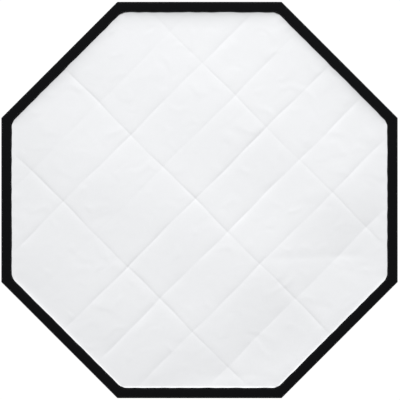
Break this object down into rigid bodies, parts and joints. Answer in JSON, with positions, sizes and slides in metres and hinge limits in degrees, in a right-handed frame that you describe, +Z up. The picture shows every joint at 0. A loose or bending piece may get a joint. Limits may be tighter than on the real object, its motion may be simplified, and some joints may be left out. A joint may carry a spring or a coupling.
{
  "type": "studio softbox",
  "caption": "Octagonal light modifier: a black shell on sprung rods and a rotating ring with a bayonet lamp mount, an inner baffle and a peel-off white front diffuser with a dark border.",
  "frame": {"origin": "centre of the bayonet insert's seating face, on the optical axis", "axes": "+Y points back along the optical axis to the lamp, -Y is the way the light goes, +Z is up, +X is to the right for someone who faces the white front"},
  "size_m": [0.95, 0.39, 0.95],
  "materials": {
    "bare_aluminium": "turned aluminium, bare, fine lathe rings",
    "cast_black": "black powder coat on cast aluminium, fine orange peel",
    "zinc_plate": "turned steel, zinc plated, satin",
    "steel_screws": "blackened steel, bright at the sockets",
    "nylon": "natural nylon, slightly translucent looking, matt",
    "brass": "turned brass, satin",
    "plain_steel": "turned steel, bright",
    "knob_plastic": "black glass-filled nylon, fine texture",
    "spring_steel": "drawn spring steel wire, satin",
    "cap_plastic": "black polythene, soft gloss",
    "shell_cloth": "black coated nylon outside, silver coating inside, fine plain weave",
    "black_webbing": "black woven webbing, ribbed",
    "fastener_tape": "black hook and loop tape",
    "diffuser_white": "white translucent polyester, fine weave, fold creases",
    "black_binding": "near black ribbed binding tape, slight sheen",
    "white_binding": "white binding tape",
    "elastic": "black knitted elastic",
    "snap_metal": "nickel-plated pressed steel, bright"
  },
  "bodies": {
    "lamp_mount": {"bayonet_insert": "bare_aluminium", "retaining_ring": "zinc_plate", "retaining_screws": "steel_screws", "rear_glide_washer": "nylon", "front_glide_washer": "nylon"},
    "speed_ring": {"ring_housing": "cast_black", "glide_bush": "nylon", "socket_liners": "nylon", "lock_bush": "brass", "rod_1": "spring_steel", "rod_2": "spring_steel", "rod_3": "spring_steel", "rod_4": "spring_steel", "rod_5": "spring_steel", "rod_6": "spring_steel", "rod_7": "spring_steel", "rod_8": "spring_steel", "rod_cap_1": "cap_plastic", "rod_cap_2": "cap_plastic", "rod_cap_3": "cap_plastic", "rod_cap_4": "cap_plastic", "rod_cap_5": "cap_plastic", "rod_cap_6": "cap_plastic", "rod_cap_7": "cap_plastic", "rod_cap_8": "cap_plastic", "gore_1": "shell_cloth", "gore_2": "shell_cloth", "gore_3": "shell_cloth", "gore_4": "shell_cloth", "gore_5": "shell_cloth", "gore_6": "shell_cloth", "gore_7": "shell_cloth", "gore_8": "shell_cloth", "corner_pockets": "black_webbing", "rod_keepers": "black_webbing", "seam_tapes": "black_webbing", "rear_cuff": "shell_cloth", "cinch_strap": "black_webbing", "cinch_buckle": "knob_plastic", "front_lip": "shell_cloth", "loop_tape": "fastener_tape", "shell_tabs": "black_webbing", "snap_studs": "snap_metal"},
    "brake": {"brake_shoe": "nylon"},
    "lock": {"lock_stud": "plain_steel", "lock_knob": "knob_plastic"},
    "front_diffuser": {"hook_tape": "fastener_tape", "diffuser_cloth": "diffuser_white", "border_band": "black_binding"},
    "inner_baffle": {"baffle_cloth": "diffuser_white", "baffle_hem": "white_binding", "baffle_straps": "elastic", "snap_sockets": "snap_metal"}
  },
  "joints": [
    {"name": "ring_swivel", "type": "hinge", "parent": "lamp_mount", "child": "speed_ring", "pos_m": [0, 0, 0], "axis": [0, 1, 0], "continuous": true},
    {"name": "brake_lift", "type": "slide", "parent": "speed_ring", "child": "brake", "axis": [0, 0, -1], "range_m": [0, 0.00187]},
    {"name": "lock_turn", "type": "hinge", "parent": "brake", "child": "lock", "pos_m": [0, -0.0129, -0.09], "axis": [0, 0, -1], "range_deg": [0, 540]},
    {"name": "diffuser_off", "type": "slide", "parent": "speed_ring", "child": "front_diffuser", "axis": [0, -1, 0], "range_m": [0, 0.5]},
    {"name": "baffle_out", "type": "slide", "parent": "speed_ring", "child": "inner_baffle", "axis": [0, -1, 0], "range_m": [0, 0.25]}
  ],
  "couplings": [
    {"joint": "lock_turn", "follows": "brake_lift", "rad_per_m": 5026.5},
    {"joint": "baffle_out", "follows": "diffuser_off", "ratio": 0.5}
  ]
}
